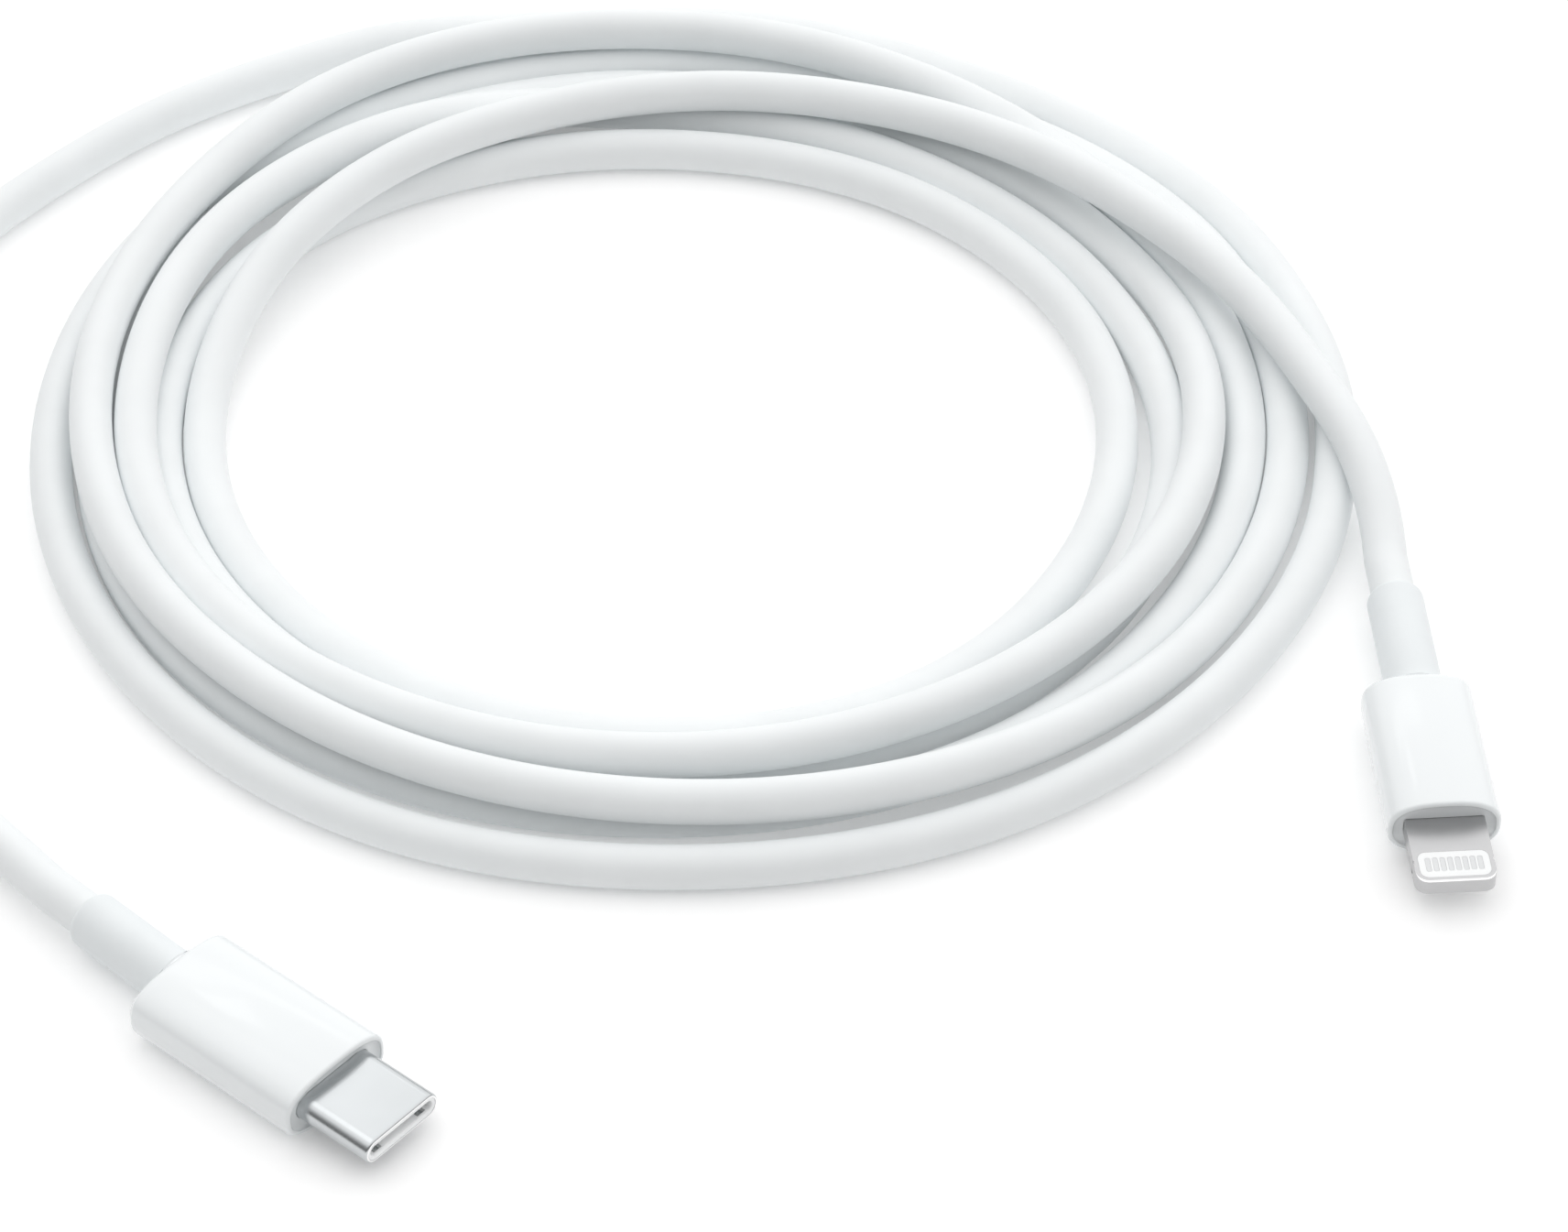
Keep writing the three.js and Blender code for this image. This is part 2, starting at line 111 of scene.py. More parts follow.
SLEEVE = {"radius": 2.45, "rounding": 0.55, "bore": 1.95, "neck": 1.6, "inside": 2.4,
          "core": 1.2, "shoulder": 0.5, "edge": 0.05, "past_cord": 0.5}
BORE_LEAD = (0.04, 0.05)  # the length and depth of the lead-in to a sleeve's bore
BORE_RIM = 0.06  # from the bore to the rounding of the sleeve's end

# ---- the cord's route, in metres, from the coil's centre -------------------------------------
OVAL_TAIL = (
    (-0.0283, 0.0560, 0.0019),
    (-0.0335, 0.0536, 0.0019),
    (-0.0420, 0.0496, 0.0019),
    (-0.0516, 0.0431, 0.0019),
    (-0.0593, 0.0354, 0.0019),
    (-0.0660, 0.0274, 0.0019),
    (-0.0712, 0.0183, 0.0019),
    (-0.0749, 0.0075, 0.0019),
    (-0.0766, -0.0050, 0.0019),
    (-0.0762, -0.0170, 0.0019),
    (-0.0734, -0.0290, 0.0019),
    (-0.0684, -0.0395, 0.00195),
    (-0.0618, -0.0484, 0.0021),
    (-0.0554, -0.0556, 0.0025),
    (-0.0516, -0.0602, 0.0027),
)
BLADE_TAIL = (
    (0.0602, -0.0126, 0.0041),
    (0.06055, -0.0165, 0.0036),
    (0.06085, -0.0205, 0.0031),
)
# Each turn runs clockwise, seen from above, from the bearing of +Y, one place every 30 degrees:
# the radius of the cord's centre, and its height, in millimetres.
TURN_RADII = (
    (57.9, 55.6, 56.5, 57.9, 57.9, 57.5, 57.1, 57.9, 57.5, 56.7, 55.85, 53.6),
    (52.0, 51.1, 52.85, 53.5, 53.4, 53.8, 52.8, 52.9, 53.1, 53.1, 53.7, 54.9),
    (52.2, 49.3, 49.7, 49.65, 49.7, 50.5, 51.0, 52.5, 53.3, 52.6, 51.7, 49.5),
    (46.8, 45.5, 45.7, 45.9, 46.2, 46.6, 47.3, 48.35, 49.7, 49.05, 49.1, 47.9),
    (44.3, 41.4, 41.05, 42.9, 44.8, 45.7, 45.9, 46.3, 46.8, 47.1, 45.45, 41.5),
    (38.5, 37.5, 37.6, 38.2, 39.3, 41.3, 41.9, 42.6, 43.3, 43.2, 42.7, 42.3),
    (42.8, 44.3, 46.9, 55.8),
)
TURN_HEIGHTS = (
    (1.9, 1.9, 1.9, 1.9, 1.9, 1.9, 1.9, 1.9, 1.9, 1.9, 1.9, 1.9),
    (1.9, 1.9, 1.9, 1.9, 2.5, 4.8, 5.2, 5.4, 5.5, 5.5, 5.6, 5.65),
    (5.65, 5.0, 2.6, 1.9, 1.9, 1.9, 1.9, 1.9, 1.9, 1.9, 1.9, 1.9),
    (1.9, 1.9, 1.9, 4.3, 5.1, 5.1, 5.2, 5.2, 5.1, 5.1, 4.9, 3.5),
    (2.1, 1.9, 1.9, 1.9, 1.9, 1.9, 1.9, 1.9, 1.9, 1.9, 1.9, 1.9),
    (1.9, 1.9, 1.9, 1.9, 1.9, 1.9, 1.9, 1.9, 1.9, 2.2, 4.9, 5.5),
    (5.6, 6.0, 7.3, 5.7),
)
PLACES_PER_TURN = 12
POINTS_PER_PLACE = 3
POINTS_PER_GAP = 12  # of the drawn route
ROUTE_STEP = 1.5  # between the points of the finished centreline

# ---- how the turns settle against each other -------------------------------------------------
SETTLE_ROUNDS = 300
SEARCH_EVERY = 10  # rounds between two searches for strands that may touch
SEARCH_REACH = 1.7  # in cord diameters
MEETING = 0.75  # in route steps, how far along the cord two points may differ and still meet
NEAR_ALONG = 8  # points nearer than this along the cord don't count as touching
HELD_POINTS = 8  # at each end, from which the hold fades out along the cord
FULLY_HELD = 6  # of those, the ones that never move
BLEND_PASSES = 20
PUSH = 1.6
PUSH_PASSES = 4  # of smoothing along the cord
PULL_BACK = 0.02  # towards the drawn route, fading over the rounds
STIFFNESS = 0.15
BEND_PASSES = 12  # of smoothing, which leave the broad curves as they are

# ---- the camera ------------------------------------------------------------------------------
LENS = 132.5
SENSOR = 36.0
CAMERA_FROM_COIL = (0.0085, -0.3931, 0.3378)
CAMERA_TILT = 47.5  # degrees from straight down

# ---- the light -------------------------------------------------------------------------------
SKY = 1.27  # its strength at the middle of the bright cap
SKY_LEAN = (22.0, -6.0)  # degrees that the bright cap leans to the back, and to the right
# How bright the sky is at each height from its leaned horizon, 0, to the middle of its cap, 1.
SKY_STOPS = ((0.0, 0.15), (0.12, 0.21), (0.31, 0.44), (0.47, 0.75), (0.61, 0.96), (0.8, 1.0))
FLOOR_GLOW = 0.11
FLOOR_HALF = 2.0
# Each light's bearing and elevation in degrees, distance and two sides in metres, and watts.
LIGHTS = (
    ("overhead", 145, 72, 1.0, (0.6, 0.6), 0.45),
    ("back_panel", 99.3, 43.3, 1.97, (0.9, 0.14), 0.3),
    ("small_panel", 103, 49.2, 1.96, (0.17, 0.14), 0.09),
)


def coil_centre():
    low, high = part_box("cord_coil")
    return Vector(((low.x + high.x) / 2, (low.y + high.y) / 2, 0.0))


CENTRE = coil_centre()


def add_camera():
    data = bpy.data.cameras.new("camera")
    data.lens = LENS
    data.sensor_width = SENSOR
    data.clip_start = 0.01
    data.clip_end = 10.0
    camera = bpy.data.objects.new("camera", data)
    camera.location = CENTRE + Vector(CAMERA_FROM_COIL)
    camera.rotation_euler = (math.radians(CAMERA_TILT), 0.0, 0.0)
    bpy.context.scene.collection.objects.link(camera)
    bpy.context.scene.camera = camera


# ---- materials -------------------------------------------------------------------------------
NOISE_LOW, NOISE_HIGH = 0.3, 0.7  # nearly all of a noise texture's values lie between these
COAT_ROUGHNESS = 0.04


def scaled(color, factor):
    return tuple(min(1.0, c * factor) for c in color) + (1.0,)


def add_noise(tree, vector, scale, detail=3.0):
    noise = tree.nodes.new("ShaderNodeTexNoise")
    noise.inputs["Scale"].default_value = scale
    noise.inputs["Detail"].default_value = detail
    tree.links.new(vector, noise.inputs["Vector"])
    return noise.outputs["Fac"]


def add_range(tree, value, low, high):
    node = tree.nodes.new("ShaderNodeMapRange")
    node.inputs["From Min"].default_value = NOISE_LOW
    node.inputs["From Max"].default_value = NOISE_HIGH
    node.inputs["To Min"].default_value = low
    node.inputs["To Max"].default_value = high
    tree.links.new(value, node.inputs["Value"])
    return node.outputs["Result"]


def finish(name, color, roughness, metallic=0.0, patch=0.004, mottle=0.015, rough_spread=0.04,
           grain=0.00025, height=0.0000015, along=None, stretch=(1.0, 1.0, 1.0), source="Object",
           coat=0.0, specular=0.5):
    """A procedural finish. patch is the size of its colour patches and grain of its surface
    texture, in metres; height is the grain's depth. mottle and rough_spread are how far colour
    and roughness vary. along turns the grain's X to that bearing, and stretch scales the
    grain's coordinates, which come from the object or from its UVs."""
    made = bpy.data.materials.new(name)
    made.use_nodes = True
    tree = made.node_tree
    shader = tree.nodes["Principled BSDF"]
    shader.inputs["Metallic"].default_value = metallic
    shader.inputs["Specular IOR Level"].default_value = specular
    shader.inputs["Coat Weight"].default_value = coat
    shader.inputs["Coat Roughness"].default_value = COAT_ROUGHNESS
    place = tree.nodes.new("ShaderNodeTexCoord")
    patches = add_noise(tree, place.outputs["Object"], 1 / patch)
    ramp = tree.nodes.new("ShaderNodeValToRGB")
    ramp.color_ramp.elements[0].position = NOISE_LOW
    ramp.color_ramp.elements[0].color = scaled(color, 1 - mottle)
    ramp.color_ramp.elements[1].position = NOISE_HIGH
    ramp.color_ramp.elements[1].color = scaled(color, 1 + mottle)
    tree.links.new(patches, ramp.inputs["Fac"])
    tree.links.new(ramp.outputs["Color"], shader.inputs["Base Color"])
    mapping = tree.nodes.new("ShaderNodeMapping")
    mapping.vector_type = "POINT"
    mapping.inputs["Scale"].default_value = stretch
    if along is not None:
        turn = tree.nodes.new("ShaderNodeVectorRotate")
        turn.rotation_type = "Z_AXIS"
        turn.inputs["Angle"].default_value = -along
        tree.links.new(place.outputs[source], turn.inputs["Vector"])
        tree.links.new(turn.outputs["Vector"], mapping.inputs["Vector"])
    else:
        tree.links.new(place.outputs[source], mapping.inputs["Vector"])
    fine = add_noise(tree, mapping.outputs["Vector"], 1 / grain, 4.0)
    spread = add_range(tree, fine, max(0.02, roughness - rough_spread), roughness + rough_spread)
    tree.links.new(spread, shader.inputs["Roughness"])
    bump = tree.nodes.new("ShaderNodeBump")
    bump.inputs["Strength"].default_value = 1.0
    bump.inputs["Distance"].default_value = height
    tree.links.new(fine, bump.inputs["Height"])
    tree.links.new(bump.outputs["Normal"], shader.inputs["Normal"])
    return made


def paint(obj, material, *more):
    obj.data.materials.clear()
    for one in (material,) + more:
        obj.data.materials.append(one)


# ---- meshes ----------------------------------------------------------------------------------
def shape_smoothly(mesh, crease):
    """Faces outward and smooth, with the edges above that many degrees marked sharp."""
    shape = bmesh.new()
    shape.from_mesh(mesh)
    bmesh.ops.recalc_face_normals(shape, faces=shape.faces)
    for face in shape.faces:
        face.smooth = True
    for edge in shape.edges:
        edge.smooth = edge.calc_face_angle(0.0) < math.radians(crease)
    shape.to_mesh(mesh)
    shape.free()


def mesh_object(name, verts, faces, material, matrix):
    """A smooth-shaded mesh with its sharp edges marked, placed by the matrix if there is one."""
    mesh = bpy.data.meshes.new(name)
    mesh.from_pydata([tuple(v) for v in verts], [], faces)
    if matrix is not None:
        mesh.transform(matrix)
    shape_smoothly(mesh, CREASE)
    obj = bpy.data.objects.new(name, mesh)
    bpy.context.scene.collection.objects.link(obj)
    paint(obj, material)
    return obj


def loft(name, rings, material, matrix, wrap=True):
    """A skin through rings of equal size. With wrap, the last joins the first; without, both
    ends are capped."""
    count = len(rings[0])
    verts = np.concatenate(rings)
    faces = []
    for i in range(len(rings) if wrap else len(rings) - 1):
        a = i * count
        b = ((i + 1) % len(rings)) * count
        for j in range(count):
            k = (j + 1) % count
            faces.append((a + j, a + k, b + k, b + j))
    if not wrap:
        faces.append(tuple(range(count))[::-1])
        faces.append(tuple(range(len(verts) - count, len(verts))))
    return mesh_object(name, verts, faces, material, matrix)


def bearings():
    return (np.arange(AROUND) + 0.5) * 2 * math.pi / AROUND


def crowned(dims, inset):
    """A boot's section: a superellipse, drawn in by an inset."""
    angle = bearings()
    c, s = np.cos(angle), np.sin(angle)
    y = (dims["width"] / 2 - inset) * np.sign(c) * np.abs(c) ** (2 / dims["power"])
    z = (dims["thickness"] / 2 - inset) * np.sign(s) * np.abs(s) ** (2 / dims["power"])
    return np.stack([y, z], 1)


def rounded(width, height, radius):
    """A rectangle with round corners: a stadium or a circle when the radius is large enough."""
    angle = bearings()
    c, s = np.cos(angle), np.sin(angle)
    y = np.sign(c) * (width / 2 - radius) + radius * c
    z = np.sign(s) * (height / 2 - radius) + radius * s
    return np.stack([y, z], 1)


def circle(radius):
    return rounded(2 * radius, 2 * radius, radius)


def stadium(width, height, inset=0.0):
    return rounded(width - 2 * inset, height - 2 * inset, height / 2 - inset)


def ring(x, outline):
    return np.column_stack([np.full(len(outline), x), outline])


def span(middle, width):
    return middle - width / 2, middle + width / 2


def fillet(x, inset, radius, start, end, steps=6):
    """(x, inset) pairs round an edge; the angles are in degrees from +X towards more inset."""
    turn = np.radians(np.linspace(start, end, steps + 1))
    return [(x + radius * math.cos(a), inset + radius * math.sin(a)) for a in turn]


def plate(name, outline, holes, z0, z1, bevel, material, matrix, nose=None):
    """A flat plate with round edges: a counter-clockwise outline and clockwise holes. The
    outline's edge may widen towards its nose, given as (x, reach, depth), into a flat chamfer."""
    loops = [np.array(outline)] + [np.array(h) for h in holes]
    round_edge = [(0.0, bevel + LAND)]
    for a in np.radians((90, 67.5, 45, 22.5, 0)):
        round_edge.append((bevel - bevel * math.sin(a), bevel - bevel * math.cos(a)))
    verts, faces, rims = [], [], []
    for loop in loops:
        edge = [(np.full(len(loop), depth), np.full(len(loop), inset))
                for depth, inset in round_edge]
        if nose and not rims:
            x, reach, deep = nose
            near = np.clip(1 - (x - loop[:, 0]) / reach, 0, 1)
            wide = [(0, 2 * deep + LAND)]
            wide += [(part * deep, 2 * (1 - part) * deep) for part in (0, 0.25, 0.5, 0.75, 1)]
            edge = [(depth + near * (d - depth), inset + near * (i - inset))
                    for (depth, inset), (d, i) in zip(edge, wide)]
        levels = [(z0 + depth, inset) for depth, inset in edge]
        levels += [(z1 - depth, inset) for depth, inset in edge[::-1]]
        tangent = np.roll(loop, -1, 0) - np.roll(loop, 1, 0)
        tangent /= np.linalg.norm(tangent, axis=1)[:, None]
        outward = np.stack([tangent[:, 1], -tangent[:, 0]], 1)
        start, count = len(verts), len(loop)
        for z, inset in levels:
            verts += [tuple(v) for v in np.column_stack([loop - outward * inset[:, None], z])]
        for i in range(len(levels) - 1):
            a = start + i * count
            for j in range(count):
                k = (j + 1) % count
                faces.append((a + j, a + k, a + count + k, a + count + j))
        rims.append((start, count))
    last = len(levels) - 1
    for level in (0, last):
        index = [start + level * count + j for start, count in rims for j in range(count)]
        flat = [[Vector(verts[start + level * count + j]) for j in range(count)]
                for start, count in rims]
        faces += [tuple(index[i] for i in tri) for tri in tessellate_polygon(flat)]
    return mesh_object(name, verts, faces, material, matrix)


def corner_points(u0, u1, v0, v1, radius, steps=8):
    """A rounded rectangle in plan, counter-clockwise."""
    corners = ((u1 - radius, v0 + radius, -90), (u1 - radius, v1 - radius, 0),
               (u0 + radius, v1 - radius, 90), (u0 + radius, v0 + radius, 180))
    points = []
    for u, v, start in corners:
        for i in range(steps + 1):
            a = math.radians(start + 90 * i / steps)
            points.append((u + radius * math.cos(a), v + radius * math.sin(a)))
    return points


def cut(obj, matrix, boxes=(), scoops=()):
    """Cuts boxes, each (x0, x1, y0, y1, z0, z1) in the plug's frame, and round scoops, each a
    centre and three radii, out of a mesh."""
    tool = bmesh.new()
    for x0, x1, y0, y1, z0, z1 in boxes:
        size = Matrix.Diagonal((x1 - x0, y1 - y0, z1 - z0, 1.0))
        place = Matrix.Translation(((x0 + x1) / 2, (y0 + y1) / 2, (z0 + z1) / 2))
        bmesh.ops.create_cube(tool, size=1.0, matrix=matrix @ place @ size)
    for middle, radii in scoops:
        place = matrix @ Matrix.Translation(middle) @ Matrix.Diagonal(tuple(radii) + (1.0,))
        bmesh.ops.create_icosphere(tool, subdivisions=4, radius=1.0, matrix=place)
    mesh = bpy.data.meshes.new("cutter")
    tool.to_mesh(mesh)
    tool.free()
    cutter = bpy.data.objects.new("cutter", mesh)
    bpy.context.scene.collection.objects.link(cutter)
    step = obj.modifiers.new("cut", "BOOLEAN")
    step.operation = "DIFFERENCE"
    step.solver = "EXACT"
    step.object = cutter
    ready = obj.evaluated_get(bpy.context.evaluated_depsgraph_get())
    result = bpy.data.meshes.new_from_object(ready)
    obj.modifiers.clear()
    obj.data = result
    bpy.data.objects.remove(cutter)
    shape_smoothly(result, CUT_CREASE)


def keep(obj, slot, *nodes):
    """Attaches a finished piece to the root body and hides the nodes it stands for; slot is not
    used.
    """
    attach(obj, "root")
    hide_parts(*nodes)


# ---- placing ---------------------------------------------------------------------------------
def plug_matrix(mount_name, dims):
    """The plug's own frame, from the record's mount on the lip of its boot."""
    mount = next(m for m in frame["record"]["mounts"] if m["name"] == mount_name)
    along = Vector(mount["axis"]).normalized()
    x, y, _ = mount["pos_m"]
    origin = Vector((x, y, dims["thickness"] / 2 * MM)) - along * dims["length"] * MM
    matrix = Matrix.Identity(4)
    matrix.col[0] = (along * MM).to_4d()
    matrix.col[1] = (Vector((-along.y, along.x, 0.0)) * MM).to_4d()
    matrix.col[2] = (Vector((0.0, 0.0, 1.0)) * MM).to_4d()
    for axis in range(3):
        matrix.col[axis][3] = 0.0
    matrix.col[3] = origin.to_4d()
    return matrix


def bearing_of(matrix):
    return math.atan2(matrix.col[0][1], matrix.col[0][0])


OVAL_FRAME = plug_matrix("oval_plug_stop", OVAL)
BLADE_FRAME = plug_matrix("blade_plug_stop", BLADE)


def sleeve_frame(matrix, dims):
    return matrix @ Matrix.Rotation(math.radians(dims["tilt"]), 4, "Z")


# ---- the cord --------------------------------------------------------------------------------
def spline(values, per):
    """Points along a smooth line through the given ones, per of them for each gap."""
    v = np.array(values, float)
    v = np.vstack([2 * v[0] - v[1], v, 2 * v[-1] - v[-2]])
    out = []
    for i in range(1, len(v) - 2):
        a, b, c, d = v[i - 1:i + 3]
        for k in range(per):
            t = k / per
            out.append(0.5 * (2 * b + (c - a) * t + (2 * a - 5 * b + 4 * c - d) * t ** 2
                              + (3 * b - a - 3 * c + d) * t ** 3))
    out.append(v[-2])
    return np.array(out)


def evenly(line, step):
    reach = np.concatenate([[0], np.cumsum(np.linalg.norm(np.diff(line, axis=0), axis=1))])
    places = np.linspace(0, reach[-1], int(round(reach[-1] / step)) + 1)
    return np.stack([np.interp(places, reach, line[:, k]) for k in range(3)], 1)


def coil_points():
    """The wound turns, with several points to each place of the turns' tables."""
    places = []
    for radii, heights in zip(TURN_RADII, TURN_HEIGHTS):
        places += zip(radii, heights)
    points = []
    for k, (radius, height) in enumerate(spline(places, POINTS_PER_PLACE)):
        angle = math.radians(90 - k * 360 / (POINTS_PER_PLACE * PLACES_PER_TURN))
        height = max(height, CORD_DIAMETER / 2)
        points.append((radius * math.cos(angle), radius * math.sin(angle), height))
    return points


def sleeve_points(matrix, dims, reaches):
    """Points on a sleeve's axis, that far out of its cord end, from the coil's centre."""
    turned = sleeve_frame(matrix, dims)
    return [(turned @ Vector((-dims["sleeve"] - out, 0, 0)) - CENTRE) / MM for out in reaches]


def smoothed(values, times):
    for _ in range(times):
        middle = 0.25 * values[:-2] + 0.5 * values[1:-1] + 0.25 * values[2:]
        values = np.concatenate([values[:1], middle, values[-1:]])
    return values


def settled(line):
    """The line with its turns pushed apart until they only touch, and none below the surface."""
    diameter = CORD_DIAMETER
    points, count = line.copy(), len(line)
    free = np.ones((count, 1))
    free[:HELD_POINTS] = free[-HELD_POINTS:] = 0
    free = smoothed(free, BLEND_PASSES)
    free[:FULLY_HELD] = free[-FULLY_HELD:] = 0
    for turn in range(SETTLE_ROUNDS):
        if turn % SEARCH_EVERY == 0:
            apart = ((points[:, None] - points[None]) ** 2).sum(2)
            i, j = np.nonzero(np.triu(apart < (SEARCH_REACH * diameter) ** 2, NEAR_ALONG))
        tangent = np.gradient(points, axis=0)
        tangent /= np.linalg.norm(tangent, axis=1)[:, None]
        between = points[i] - points[j]
        along = tangent[i] + tangent[j]
        along /= np.linalg.norm(along, axis=1)[:, None]
        offset = (between * along).sum(1)
        across = between - offset[:, None] * along
        gap = np.linalg.norm(across, axis=1)
        hit = (np.abs(offset) < MEETING * ROUTE_STEP) & (gap < diameter)
        push = across[hit] * (0.5 * (diameter - gap[hit]) / np.maximum(gap[hit], 0.2))[:, None]
        move, hits = np.zeros_like(points), np.zeros(count)
        np.add.at(move, i[hit], push)
        np.add.at(move, j[hit], -push)
        np.add.at(hits, i[hit], 1)
        np.add.at(hits, j[hit], 1)
        move = smoothed(move / np.maximum(hits, 1)[:, None], PUSH_PASSES)
        hold = PULL_BACK * (1 - turn / SETTLE_ROUNDS)
        points += free * (PUSH * move + hold * (line - points))
        points[:, 2] = np.maximum(points[:, 2], diameter / 2)
        bend = np.zeros_like(points)
        bend[1:-1] = (points[:-2] + points[2:]) / 2 - points[1:-1]
        points += free * STIFFNESS * (bend - smoothed(bend, BEND_PASSES))
    return points


def cord_line():
    """The cord's centreline in metres, from inside the oval plug's sleeve to the blade's."""
    route = sleeve_points(OVAL_FRAME, OVAL, (-CORD_IN_SLEEVE, STRAIGHT_OUT))
    route += [Vector(p) / MM for p in OVAL_TAIL[::-1]]
    route += [Vector(p) for p in coil_points()]
    route += [Vector(p) / MM for p in BLADE_TAIL]
    route += sleeve_points(BLADE_FRAME, BLADE, (STRAIGHT_OUT, -CORD_IN_SLEEVE))
    line = evenly(spline(route, POINTS_PER_GAP), ROUTE_STEP)
    return settled(line) * MM + np.array(CENTRE)


def tube(name, line, radius, sides, material):
    """A capped round tube whose rings don't twist, with UVs: round it, and along it in metres."""
    tangent = np.gradient(line, axis=0)
    tangent /= np.linalg.norm(tangent, axis=1)[:, None]
    side = np.cross(tangent[0], (0, 0, 1.0))
    angle = np.arange(sides) * 2 * math.pi / sides
    rings = []
    for centre, forward in zip(line, tangent):
        side = side - forward * (side @ forward)
        side /= np.linalg.norm(side)
        up = np.cross(side, forward)
        section = np.outer(np.cos(angle), side) + np.outer(np.sin(angle), up)
        rings.append(centre + radius * section)
    obj = loft(name, rings, material, None, wrap=False)
    layer = obj.data.uv_layers.new(name="UVMap")
    reach = np.concatenate([[0], np.cumsum(np.linalg.norm(np.diff(line, axis=0), axis=1))])
    for face in obj.data.polygons:
        first = min(face.vertices) % sides
        for loop, vertex in zip(face.loop_indices, face.vertices):
            around = vertex % sides
            if around == 0 and first == 0 and max(v % sides for v in face.vertices) == sides - 1:
                around = sides
            layer.data[loop].uv = (around / sides, reach[vertex // sides])
    return obj


def add_cord(material):
    line = cord_line()
    cord = tube("cord", line, CORD_DIAMETER / 2 * MM, CORD_SIDES, material)
    keep(cord, "cord_jacket", "cord_coil", "cord_tail_oval", "cord_tail_blade")


# ---- pieces that both plugs have -------------------------------------------------------------
def add_boot(name, dims, mouth, matrix, material):
    """A moulded boot: rounded rear, a dished front round its mouth, hollow inside."""
    length = dims["length"]
    floor = length - DISH
    inner = floor - FRONT_WALL
    rings = [ring(WALL, circle(HOLE)), ring(HOLE_EDGE, circle(HOLE))]
    rings.append(ring(0.0, circle(HOLE + HOLE_EDGE)))
    edges = fillet(REAR_FILLET, REAR_FILLET, REAR_FILLET, 180, 270, 8)
    edges += fillet(length - FRONT_FILLET, FRONT_FILLET, FRONT_FILLET, 270, 360)
    edges += fillet(length - LIP_FILLET, LIP, LIP_FILLET, 0, 90, 4)
    edges += [(floor + out, LIP + inset) for out, inset in BOWL]
    rings += [ring(x, crowned(dims, inset)) for x, inset in edges]
    rings += [ring(floor, mouth(MOUTH_EDGE)), ring(floor - MOUTH_EDGE, mouth(0.0))]
    rings += [ring(inner, mouth(0.0)), ring(inner, crowned(dims, WALL))]
    rings.append(ring(WALL, crowned(dims, WALL)))
    keep(loft(name, rings, material, matrix), "plug_boot", name)


def add_sleeve(name, dims, matrix, material):
    """The strain sleeve: a soft tube with a rounded cord end and a bore that the cord fills."""
    end, radius, bore = -dims["sleeve"], SLEEVE["radius"], SLEEVE["bore"]
    rounding, shoulder, edge = SLEEVE["rounding"], SLEEVE["shoulder"], SLEEVE["edge"]
    neck, inside, core = SLEEVE["neck"], SLEEVE["inside"], SLEEVE["core"]
    profile = [(end + BORE_LEAD[0], bore), (end, bore + BORE_LEAD[1])]
    start = bore + BORE_RIM
    for a in np.radians(np.linspace(0, 90, 9)):
        out, up = rounding * (1 - math.cos(a)), (radius - start) * math.sin(a)
        profile.append((end + out, start + up))
    profile += [(shoulder - edge, radius), (shoulder, radius - edge), (shoulder, neck)]
    deep = end + CORD_IN_SLEEVE + SLEEVE["past_cord"]
    profile += [(inside, neck), (inside, core), (deep, core), (deep, bore)]
    rings = [ring(x, circle(r)) for x, r in profile]
    keep(loft(name, rings, material, sleeve_frame(matrix, dims)), "strain_sleeve", name)


# ---- the oval plug ---------------------------------------------------------------------------
def oval_mouth(grow):
    more = 2 * (MOUTH_GAP + grow)
    return stadium(SHELL["width"] + more, SHELL["thickness"] + more)


def add_oval_shell(material, painted_highlight_finish):
    """The drawn shell: satin all over, its front edge rolled, with a painted highlight on its rim,
    a brighter copy of the steel.
    """
    wall, outer, inner = SHELL["wall"], SHELL["roll"], SHELL["inner_fillet"]
    profile = [(SHELL_REAR, 0.0)] + fillet(SHELL_FRONT - outer, outer, outer, 270, 360, 10)
    profile += fillet(SHELL_FRONT - inner, wall - inner, inner, 0, 90, 4) + [(SHELL_REAR, wall)]
    rings = [ring(x, stadium(SHELL["width"], SHELL["thickness"], inset)) for x, inset in profile]
    shell = loft("oval_shell", rings, material, OVAL_FRAME)
    paint(shell, material, painted_highlight_finish)
    turn = OVAL_FRAME.inverted()
    # Faces that far back from the front take the brighter steel: a painted highlight on the rim.
    for face in shell.data.polygons:
        face.material_index = int((turn @ face.center).x > SHELL_FRONT - SHELL["painted_highlight_band"])
    keep(shell, "oval_steel", "oval_shell")


def insulator_boxes():
    """The slots of the contact strips and latches, and the windows behind the mouth."""
    slot, latch, window = STRIP_SLOT, LATCH_POCKET, MOUTH_WINDOW
    top = CAVITY["height"] / 2 + slot["depth"]
    boxes = []
    for row, z0, z1 in ((OVAL_UPPER, slot["inner"], top), (OVAL_LOWER, -top, -slot["inner"])):
        for place in row:
            boxes.append((SHELL_REAR - OPEN_END, SHELL_FRONT - slot["front"],
                          *span(place * OVAL_PITCH, slot["width"]), z0, z1))
    for side in (-1, 1):
        boxes.append((SHELL_REAR + latch["rear"], SHELL_FRONT - latch["front"],
                      *span(side * latch["offset"], latch["width"]), *span(0.0, latch["height"])))
        boxes.append((SHELL_FRONT - window["rear"], SHELL_FRONT - window["front"],
                      *span(side * window["offset"], window["width"]), *span(0.0, THROUGH)))
    return boxes


